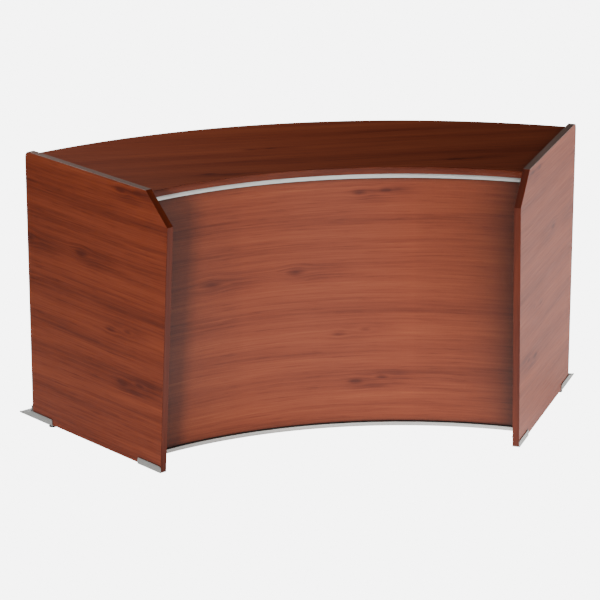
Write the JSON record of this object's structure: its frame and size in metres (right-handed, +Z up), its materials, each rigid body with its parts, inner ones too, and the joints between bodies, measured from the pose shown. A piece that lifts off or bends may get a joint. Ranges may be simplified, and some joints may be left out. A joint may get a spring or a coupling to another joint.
{
  "type": "curved reception counter",
  "caption": "Standing-height curved counter section: cherry laminate top, curved front panel in an aluminium frame, flat end panels on angle feet with levelling glides.",
  "frame": {"origin": "floor level, at the middle of the footprint's bounding box", "axes": "+Z up, +Y from the concave panelled side towards the open working side, +X to the right seen from the concave side"},
  "size_m": [2.2212, 1.0166, 1.067],
  "materials": {
    "cherry_laminate": "satin cherry wood-grain laminate",
    "cherry_edge_band": "satin cherry wood-grain edge banding",
    "taupe_edge_band": "satin grey-brown edge banding",
    "anodised_aluminium": "satin clear-anodised aluminium",
    "black_gasket": "matt black glazing gasket",
    "bracket_steel": "black powder-coated steel",
    "zinc_steel": "bright zinc-plated steel",
    "black_plastic": "matt black moulded plastic"
  },
  "bodies": {
    "counter": {"base_gasket": "black_gasket", "base_rail": "anodised_aluminium", "cleat_screws": "zinc_steel", "corner_bracket_screws": "zinc_steel", "counter_gusset_1": "bracket_steel", "counter_gusset_2": "bracket_steel", "counter_gusset_3": "bracket_steel", "countertop": "cherry_laminate", "countertop_front_edge_band": "cherry_edge_band", "countertop_rear_edge_band": "cherry_edge_band", "curved_front_panel": "cherry_laminate", "foot_screws": "zinc_steel", "frame_bolts": "zinc_steel", "frame_corner_brackets": "bracket_steel", "frame_inserts": "zinc_steel", "glide_inserts": "zinc_steel", "glide_nuts": "zinc_steel", "gusset_screws": "zinc_steel", "left_counter_cleat": "bracket_steel", "left_end_panel": "cherry_laminate", "left_end_panel_chamfer_edge_band": "cherry_edge_band", "left_end_panel_front_edge_band": "cherry_edge_band", "left_end_panel_top_edge_band": "taupe_edge_band", "left_front_foot": "anodised_aluminium", "left_rear_foot": "anodised_aluminium", "left_stile": "anodised_aluminium", "left_stile_gasket": "black_gasket", "rail_screws": "zinc_steel", "right_counter_cleat": "bracket_steel", "right_end_panel": "cherry_laminate", "right_end_panel_chamfer_edge_band": "cherry_edge_band", "right_end_panel_front_edge_band": "cherry_edge_band", "right_end_panel_top_edge_band": "taupe_edge_band", "right_front_foot": "anodised_aluminium", "right_rear_foot": "anodised_aluminium", "right_stile": "anodised_aluminium", "right_stile_gasket": "black_gasket", "top_gasket": "black_gasket", "top_rail": "anodised_aluminium"},
    "right_front_glide": {"right_front_glide_pad": "black_plastic", "right_front_glide_stem": "zinc_steel"},
    "right_middle_glide": {"right_middle_glide_pad": "black_plastic", "right_middle_glide_stem": "zinc_steel"},
    "right_rear_glide": {"right_rear_glide_pad": "black_plastic", "right_rear_glide_stem": "zinc_steel"},
    "left_front_glide": {"left_front_glide_pad": "black_plastic", "left_front_glide_stem": "zinc_steel"},
    "left_middle_glide": {"left_middle_glide_pad": "black_plastic", "left_middle_glide_stem": "zinc_steel"},
    "left_rear_glide": {"left_rear_glide_pad": "black_plastic", "left_rear_glide_stem": "zinc_steel"}
  },
  "joints": [
    {"name": "right_front_glide_level", "type": "slide", "parent": "counter", "child": "right_front_glide", "axis": [0, 0, -1], "range_m": [0, 0.012]},
    {"name": "right_middle_glide_level", "type": "slide", "parent": "counter", "child": "right_middle_glide", "axis": [0, 0, -1], "range_m": [0, 0.012]},
    {"name": "right_rear_glide_level", "type": "slide", "parent": "counter", "child": "right_rear_glide", "axis": [0, 0, -1], "range_m": [0, 0.012]},
    {"name": "left_front_glide_level", "type": "slide", "parent": "counter", "child": "left_front_glide", "axis": [0, 0, -1], "range_m": [0, 0.012]},
    {"name": "left_middle_glide_level", "type": "slide", "parent": "counter", "child": "left_middle_glide", "axis": [0, 0, -1], "range_m": [0, 0.012]},
    {"name": "left_rear_glide_level", "type": "slide", "parent": "counter", "child": "left_rear_glide", "axis": [0, 0, -1], "range_m": [0, 0.012]}
  ]
}
